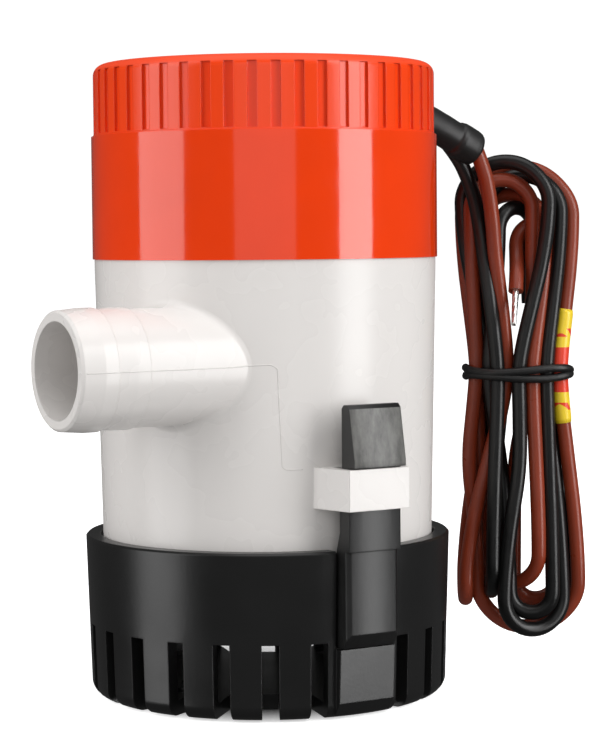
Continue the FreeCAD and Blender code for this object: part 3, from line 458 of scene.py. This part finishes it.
class Shade:
    """A small node builder round one Principled shader."""

    def __init__(self, name, colour, roughness, metallic=0.0, coat=0.0):
        self.material = bpy.data.materials.new(name)
        self.material.use_nodes = True
        self.nodes = self.material.node_tree.nodes
        self.links = self.material.node_tree.links
        self.shader = self.nodes["Principled BSDF"]
        self.set("Base Color", (*colour, 1))
        self.set("Roughness", roughness)
        self.set("Metallic", metallic)
        self.set("Specular IOR Level", 0.5)
        self.set("Coat Weight", coat)
        self.colour = colour
        self.height = None
        self.place = self.node("ShaderNodeTexCoord").outputs["Object"]

    def set(self, socket, value):
        self.shader.inputs[socket].default_value = value

    def node(self, kind, **settings):
        made = self.nodes.new(kind)
        for key, value in settings.items():
            setattr(made, key, value)
        return made

    def join(self, output, target, socket):
        self.links.new(output, target.inputs[socket])

    def stretched(self, scale):
        """Object coordinates scaled per axis."""
        made = self.node("ShaderNodeMapping")
        made.inputs["Scale"].default_value = scale
        self.join(self.place, made, "Vector")
        return made.outputs["Vector"]

    def noise(self, scale, detail=3.0, place=None, roughness=0.5):
        made = self.node("ShaderNodeTexNoise")
        made.inputs["Scale"].default_value = scale
        made.inputs["Detail"].default_value = detail
        made.inputs["Roughness"].default_value = roughness
        self.join(place or self.place, made, "Vector")
        return made.outputs["Fac"]

    def wave(self, scale, direction, distortion):
        made = self.node("ShaderNodeTexWave", wave_type="BANDS", bands_direction=direction)
        made.inputs["Scale"].default_value = scale
        made.inputs["Distortion"].default_value = distortion
        self.join(self.place, made, "Vector")
        return made.outputs["Fac"]

    def ramp(self, factor, stops, mode="LINEAR"):
        made = self.node("ShaderNodeValToRGB")
        made.color_ramp.interpolation = mode
        while len(made.color_ramp.elements) < len(stops):
            made.color_ramp.elements.new(0.5)
        for element, (place, colour) in zip(made.color_ramp.elements, stops):
            element.position = place
            element.color = (*colour, 1)
        self.join(factor, made, "Fac")
        return made.outputs["Color"]

    def along(self, axis, low, high):
        """0 at low and 1 at high along one axis of the object coordinates, in metres."""
        split = self.node("ShaderNodeSeparateXYZ")
        self.join(self.place, split, "Vector")
        made = self.node("ShaderNodeMapRange")
        made.inputs["From Min"].default_value = low
        made.inputs["From Max"].default_value = high
        self.join(split.outputs[axis], made, "Value")
        return made.outputs["Result"]

    def colours(self, factor, stops, mode="LINEAR"):
        self.join(self.ramp(factor, stops, mode), self.shader, "Base Color")

    def tint(self, factor, low, high):
        """Base colour wandering between two multiples of itself."""
        dark = tuple(c * low for c in self.colour)
        light = tuple(min(1.0, c * high) for c in self.colour)
        self.colours(factor, ((0.3, dark), (0.7, light)))

    def gloss(self, factor, low, high):
        made = self.node("ShaderNodeMapRange")
        made.inputs["From Min"].default_value = 0.3
        made.inputs["From Max"].default_value = 0.7
        made.inputs["To Min"].default_value = low
        made.inputs["To Max"].default_value = high
        self.join(factor, made, "Value")
        self.join(made.outputs["Result"], self.shader, "Roughness")

    def soften_edges(self, radius):
        """Lets sharp edges catch the light as if rounded to this radius."""
        made = self.node("ShaderNodeBevel", samples=4)
        made.inputs["Radius"].default_value = radius
        self.height = made.outputs["Normal"]

    def bump(self, factor, distance, strength=1.0):
        """Adds one more layer of fine relief, its depth in metres."""
        made = self.node("ShaderNodeBump")
        made.inputs["Strength"].default_value = strength
        made.inputs["Distance"].default_value = distance
        self.join(factor, made, "Height")
        if self.height is not None:
            self.join(self.height, made, "Normal")
        self.height = made.outputs["Normal"]
        self.join(self.height, self.shader, "Normal")


def moulded(name, colour, roughness, grain=2600.0, depth=0.000005, spread=0.06, waves=0.00004, uneven=True):
    """Injection-moulded plastic: softened edges, slow flow tint, uneven gloss, fine grain, faint sink."""
    shade = Shade(name, colour, roughness)
    shade.soften_edges(0.25 * MM)
    shade.tint(shade.noise(38.0, 2.0), 1 - spread, 1 + spread)
    if uneven:
        shade.gloss(shade.noise(120.0, 2.0), roughness * 0.92, roughness * 1.1)
    shade.bump(shade.noise(45.0, 1.0), waves, 0.5)
    shade.bump(shade.noise(grain, 1.0), depth, 0.5)
    return shade


def worked_metal(name, colour, roughness, stretch, spread=0.12, depth=0.000015):
    """Metal with tool marks: noise stretched along one direction."""
    shade = Shade(name, colour, roughness, metallic=1.0)
    marks = shade.noise(1.0, 4.0, shade.stretched(stretch))
    shade.tint(marks, 1 - spread, 1 + spread)
    shade.gloss(marks, roughness * 0.8, roughness * 1.3)
    shade.bump(marks, depth, 0.6)
    return shade


def insulation(name, colour, roughness, spread):
    """Extruded PVC: faint lengthwise waviness, handled gloss and specks."""
    shade = Shade(name, colour, roughness)
    shade.tint(shade.noise(110.0, 5.0), 1 - spread, 1 + spread)
    shade.gloss(shade.noise(300.0, 3.0), roughness * 0.85, roughness * 1.2)
    shade.bump(shade.noise(240.0, 2.0), 0.00010, 0.5)
    shade.bump(shade.noise(1500.0, 1.0), 0.000006, 0.5)
    return shade


LATCH_CROWN = 22.0
SHEEN_FROM, SHEEN_FULL = 38.5 * MM, 40.0 * MM


def latch_shade():
    """Black latch plastic, crowned across its width and scratched; its faces towards ±Y on the head carry a
    painted sheen.
    """
    grip = Shade("grip_black", (0.009, 0.009, 0.009), 0.36)
    grip.soften_edges(0.3 * MM)
    split = grip.node("ShaderNodeSeparateXYZ")
    grip.join(grip.place, split, "Vector")
    square = grip.node("ShaderNodeMath", operation="POWER")
    square.inputs[1].default_value = 2.0
    grip.join(split.outputs["X"], square, 0)
    crown = grip.node("ShaderNodeMath", operation="MULTIPLY")
    crown.inputs[1].default_value = -LATCH_CROWN
    grip.join(square.outputs[0], crown, 0)
    grip.bump(crown.outputs[0], 1.0)
    scuffs = grip.noise(700.0, 5.0, grip.stretched((1.0, 1.0, 0.35)), 0.65)
    grip.bump(scuffs, 0.00004, 0.6)
    facing = grip.node("ShaderNodeSeparateXYZ")
    grip.join(grip.node("ShaderNodeTexCoord").outputs["Normal"], facing, "Vector")
    outward = grip.node("ShaderNodeMath", operation="ABSOLUTE")
    grip.join(facing.outputs["Y"], outward, 0)
    face = grip.node("ShaderNodeMapRange")
    face.inputs["From Min"].default_value = 0.80
    face.inputs["From Max"].default_value = 0.95
    grip.join(outward.outputs[0], face, "Value")
    # Painted sheen: faces turned towards ±Y on the latch head, from 38.5 mm up, get a lighter colour
    # streaked by the scratch noise.
    painted_sheen = grip.node("ShaderNodeMath", operation="MULTIPLY")
    grip.join(face.outputs["Result"], painted_sheen, 0)
    grip.join(grip.along("Z", SHEEN_FROM, SHEEN_FULL), painted_sheen, 1)
    mix = grip.node("ShaderNodeMix", data_type="RGBA")
    grip.join(painted_sheen.outputs[0], mix, "Factor")
    # The plain black colours, and the lighter colours of the painted sheen.
    base_colours = ((0.3, (0.008, 0.008, 0.008)), (0.7, (0.013, 0.013, 0.013)))
    sheen_colours = ((0.32, (0.055, 0.054, 0.050)), (0.72, (0.17, 0.168, 0.158)))
    grip.join(grip.ramp(scuffs, base_colours), mix, 6)
    grip.join(grip.ramp(scuffs, sheen_colours), mix, 7)
    grip.join(mix.outputs[2], grip.shader, "Base Color")
    return grip


def label_shade():
    """Glossy printed film: a smooth skin over a faintly uneven wrap."""
    label = Shade("label_orange", (0.82, 0.046, 0.002), 0.10, coat=0.35)
    label.tint(label.noise(60.0, 3.0), 0.96, 1.04)
    label.gloss(label.noise(300.0, 4.0), 0.08, 0.13)
    label.bump(label.noise(42.0, 2.0), 0.00012, 0.5)
    label.bump(label.noise(900.0, 2.0), 0.000008, 0.5)
    return label


def tag_shade():
    """Marker sleeve: yellow and red blocks along its length, with plain slanted dashes for print."""
    yellow, red = (0.86, 0.62, 0.02), (0.80, 0.045, 0.012)
    off, on = (0, 0, 0), (1, 1, 1)
    shade = Shade("tag_yellow", (0.86, 0.60, 0.02), 0.38, coat=0.2)
    run_up = shade.along("Z", TAG_LOW, TAG_HIGH)
    blocks = shade.ramp(run_up, ((0.0, yellow), (0.27, red), (0.66, yellow)), "CONSTANT")
    marked = ((0.0, off), (0.12, on), (0.18, off), (0.75, on), (0.82, off))
    marks = shade.ramp(run_up, marked, "CONSTANT")
    dashes = shade.ramp(shade.wave(260.0, "DIAGONAL", 1.5), ((0.0, off), (0.5, on)), "CONSTANT")
    both = shade.node("ShaderNodeMath", operation="MULTIPLY")
    shade.join(marks, both, 0)
    shade.join(dashes, both, 1)
    mix = shade.node("ShaderNodeMix", data_type="RGBA")
    mix.inputs[7].default_value = (*red, 1)
    shade.join(both.outputs[0], mix, "Factor")
    shade.join(blocks, mix, 6)
    shade.join(mix.outputs[2], shade.shader, "Base Color")
    shade.gloss(shade.noise(500.0, 3.0), 0.32, 0.45)
    shade.bump(shade.noise(700.0, 3.0), 0.00004, 0.6)
    return shade


CAP_GLOSS_TO, CAP_MATT_FROM = 101.0 * MM, 102.5 * MM


def cap_shade():
    """Orange cap: glossy on its sides and matt on top."""
    cap = moulded("cap_orange", (0.86, 0.052, 0.002), 0.22, spread=0.03, uneven=False)
    cap.gloss(cap.along("Z", CAP_GLOSS_TO, CAP_MATT_FROM), 0.22, 0.52)
    return cap


def make_materials():
    """Every material by its slot's name."""
    made = {}
    made["shell_white"] = moulded("shell_white", (0.745, 0.717, 0.695), 0.27, spread=0.012, waves=0.00002)
    made["cap_orange"] = cap_shade()
    made["label_orange"] = label_shade()
    made["base_black"] = moulded("base_black", (0.009, 0.009, 0.009), 0.30, 1900.0, 0.000018, 0.12)
    made["grip_black"] = latch_shade()
    made["boot_rubber"] = moulded("boot_rubber", (0.011, 0.011, 0.011), 0.45, 1500.0, 0.00003, 0.15)
    made["wire_brown"] = insulation("wire_brown", (0.235, 0.034, 0.012), 0.32, 0.12)
    made["wire_black"] = insulation("wire_black", (0.006, 0.006, 0.006), 0.34, 0.15)
    made["tinned_wire"] = worked_metal("tinned_wire", (0.80, 0.79, 0.77), 0.28, (900.0, 900.0, 300.0))
    made["tie_black"] = insulation("tie_black", (0.008, 0.008, 0.008), 0.42, 0.2)
    made["tag_yellow"] = tag_shade()
    made["inner_white"] = moulded("inner_white", (0.70, 0.70, 0.67), 0.42, spread=0.04)
    made["impeller_grey"] = moulded("impeller_grey", (0.16, 0.17, 0.18), 0.45, spread=0.1)
    made["seal_rubber"] = moulded("seal_rubber", (0.022, 0.022, 0.022), 0.55, 3000.0, spread=0.15)
    made["motor_steel"] = worked_metal("motor_steel", (0.58, 0.58, 0.57), 0.34, (260.0, 260.0, 40.0))
    stack = worked_metal("core_steel", (0.26, 0.26, 0.27), 0.45, (300.0, 300.0, 60.0))
    stack.bump(stack.wave(320.0, "Z", 0.2), 0.00008, 0.9)
    made["core_steel"] = stack
    made["ferrite"] = moulded("ferrite", (0.045, 0.045, 0.048), 0.6, 3500.0, 0.00004, 0.2)
    winding = worked_metal("enamel_copper", (0.50, 0.17, 0.05), 0.28, (400.0, 400.0, 400.0))
    winding.bump(winding.wave(420.0, "DIAGONAL", 1.0), 0.00012, 1.0)
    made["enamel_copper"] = winding
    made["copper"] = worked_metal("copper", (0.74, 0.33, 0.17), 0.32, (60.0, 60.0, 900.0))
    made["bronze"] = worked_metal("bronze", (0.50, 0.33, 0.15), 0.5, (1800.0, 1800.0, 1800.0), 0.2)
    made["carbon"] = moulded("carbon", (0.03, 0.03, 0.031), 0.5, 4000.0, 0.00003, 0.25)
    made["shaft_steel"] = worked_metal("shaft_steel", (0.66, 0.66, 0.67), 0.2, (90.0, 90.0, 2600.0), 0.06)
    made["end_cap_nylon"] = moulded("end_cap_nylon", (0.05, 0.05, 0.052), 0.45, spread=0.12)
    return {slot: shade.material for slot, shade in made.items()}


materials = make_materials()


def dress(piece, material):
    """Gives a piece one material, named by its slot."""
    piece.data.materials.clear()
    piece.data.materials.append(materials[material])


for subpart in frame["record"]["subparts"]:
    dress(frame["nodes"][subpart["node"]], subpart["material_slot"])
for node in ("latch_front", "latch_rear"):
    dress(frame["nodes"][node], "grip_black")

# ---------------------------------------------------------------- who rides where

ON_THE_LEADS = (
    (brown, "wire_brown", ("brown_lead", "lead_hank")),
    (black, "wire_black", ("black_lead", "lead_hank")),
    (wire_ends, "tinned_wire", ("bare_wire_ends",)),
    (tag, "tag_yellow", ("wire_tag",)),
    (tie, "tie_black", ("wire_tie",)),
    (boot, "boot_rubber", ("cord_boot",)),
)
for piece, slot_name, stood_for in ON_THE_LEADS:
    dress(piece, slot_name)
    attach(piece, "pump_body")
    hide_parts(*stood_for)

dress(parting, "shell_white")
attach(parting, "pump_body")

# ---------------------------------------------------------------- studio

FOLLOW = Matrix.Rotation(CAMERA_AZIMUTH, 3, "Z")
AIM = Vector((0.015, 0.0, 0.055))


def softbox(name, place, size, power):
    """A rectangular light aimed at the pump; place is right, away and up as the camera sees it."""
    data = bpy.data.lights.new(name, "AREA")
    data.shape = "RECTANGLE"
    data.size, data.size_y = size
    data.energy = power
    light = bpy.data.objects.new(name, data)
    bpy.context.scene.collection.objects.link(light)
    light.location = FOLLOW @ Vector(place)
    light.rotation_mode = "QUATERNION"
    light.rotation_quaternion = (AIM - light.location).to_track_quat("-Z", "Y")


softbox("left_box", (-0.64, -0.25, 0.22), (0.46, 0.95), 3.5)
softbox("right_box", (0.63, -0.32, 0.20), (0.32, 0.95), 5.2)
softbox("top_box", (0.0, -0.10, 0.85), (0.9, 0.7), 2.8)
softbox("front_fill", (0.05, -1.2, 0.35), (0.9, 0.7), 1.4)


FLOOR_REACH, FLOOR_DROP = 3.0, 0.0002
FLOOR_RINGS, FLOOR_SIDES = 24, 96
FLOOR_GLOW = 0.85
# The patch under and behind the pump where the floor's glow is left off, a painted soft shadow: centre away
# from the camera, and half sizes.
PAINTED_SHADOW_AWAY = 0.012
PAINTED_SHADOW_HALF = (0.0275, 0.041, 1.0)
PAINTED_SHADOW_EDGE = (0.70, 1.15)


def add_floor():
    """A pale studio floor, faintly lit from within so that it runs out to white, its glow left off under
    and behind the pump as a painted shadow.
    """
    rings, sides = FLOOR_RINGS, FLOOR_SIDES
    verts, faces = [Vector((0, 0, 0))], []
    for ring in range(1, rings + 1):
        reach = FLOOR_REACH * (ring / rings) ** 2
        for k in range(sides):
            angle = 2 * pi * k / sides
            verts.append(Vector((reach * cos(angle), reach * sin(angle), 0)))
    for k in range(sides):
        faces.append((0, 1 + k, 1 + (k + 1) % sides))
    for ring in range(rings - 1):
        a, b = 1 + ring * sides, 1 + (ring + 1) * sides
        for k in range(sides):
            n = (k + 1) % sides
            faces.append((a + k, b + k, b + n, a + n))
    floor = add_mesh("floor", verts, faces)
    floor.location.z = -FLOOR_DROP
    shade = Shade("floor_white", (0.9, 0.9, 0.9), 0.6)
    shade.tint(shade.noise(30.0, 3.0), 0.99, 1.0)
    # Painted shadow: the floor's glow fades to nothing in a soft ellipse under and behind the pump.
    shadow_patch_place = shade.node("ShaderNodeMapping", vector_type="TEXTURE")
    shadow_patch_place.inputs["Location"].default_value = FOLLOW @ Vector((0, PAINTED_SHADOW_AWAY, 0))
    shadow_patch_place.inputs["Rotation"].default_value = (0, 0, CAMERA_AZIMUTH)
    shadow_patch_place.inputs["Scale"].default_value = PAINTED_SHADOW_HALF
    shade.join(shade.place, shadow_patch_place, "Vector")
    reach = shade.node("ShaderNodeVectorMath", operation="LENGTH")
    shade.join(shadow_patch_place.outputs["Vector"], reach, 0)
    glow_outside_shadow = shade.node("ShaderNodeMapRange", interpolation_type="SMOOTHSTEP")
    glow_outside_shadow.inputs["From Min"].default_value = PAINTED_SHADOW_EDGE[0]
    glow_outside_shadow.inputs["From Max"].default_value = PAINTED_SHADOW_EDGE[1]
    glow_outside_shadow.inputs["To Max"].default_value = FLOOR_GLOW
    shade.join(reach.outputs["Value"], glow_outside_shadow, "Value")
    shade.set("Emission Color", (1, 1, 1, 1))
    shade.join(glow_outside_shadow.outputs["Result"], shade.shader, "Emission Strength")
    floor.data.materials.append(shade.material)
    floor.visible_glossy = False
    floor.visible_diffuse = False


add_floor()


WORLD_LIGHT, WORLD_IN_GLOSS, WORLD_SEEN = 0.45, 0.07, 1.05


def add_world():
    """White behind everything, a softer grey in the light that it gives."""
    world = bpy.data.worlds.new("studio")
    bpy.context.scene.world = world
    world.use_nodes = True
    nodes, links = world.node_tree.nodes, world.node_tree.links
    path = nodes.new("ShaderNodeLightPath")
    light = nodes["Background"]
    light.inputs["Strength"].default_value = WORLD_LIGHT
    for strength, rays in ((WORLD_IN_GLOSS, "Is Glossy Ray"), (WORLD_SEEN, "Is Camera Ray")):
        seen = nodes.new("ShaderNodeBackground")
        seen.inputs["Color"].default_value = (1, 1, 1, 1)
        seen.inputs["Strength"].default_value = strength
        pick = nodes.new("ShaderNodeMixShader")
        links.new(path.outputs[rays], pick.inputs["Fac"])
        links.new(light.outputs[0], pick.inputs[1])
        links.new(seen.outputs[0], pick.inputs[2])
        light = pick
    nodes["Background"].inputs["Color"].default_value = (1, 1, 1, 1)
    links.new(light.outputs["Shader"], nodes["World Output"].inputs["Surface"])


add_world()
bpy.context.scene.view_settings.view_transform = "Standard"
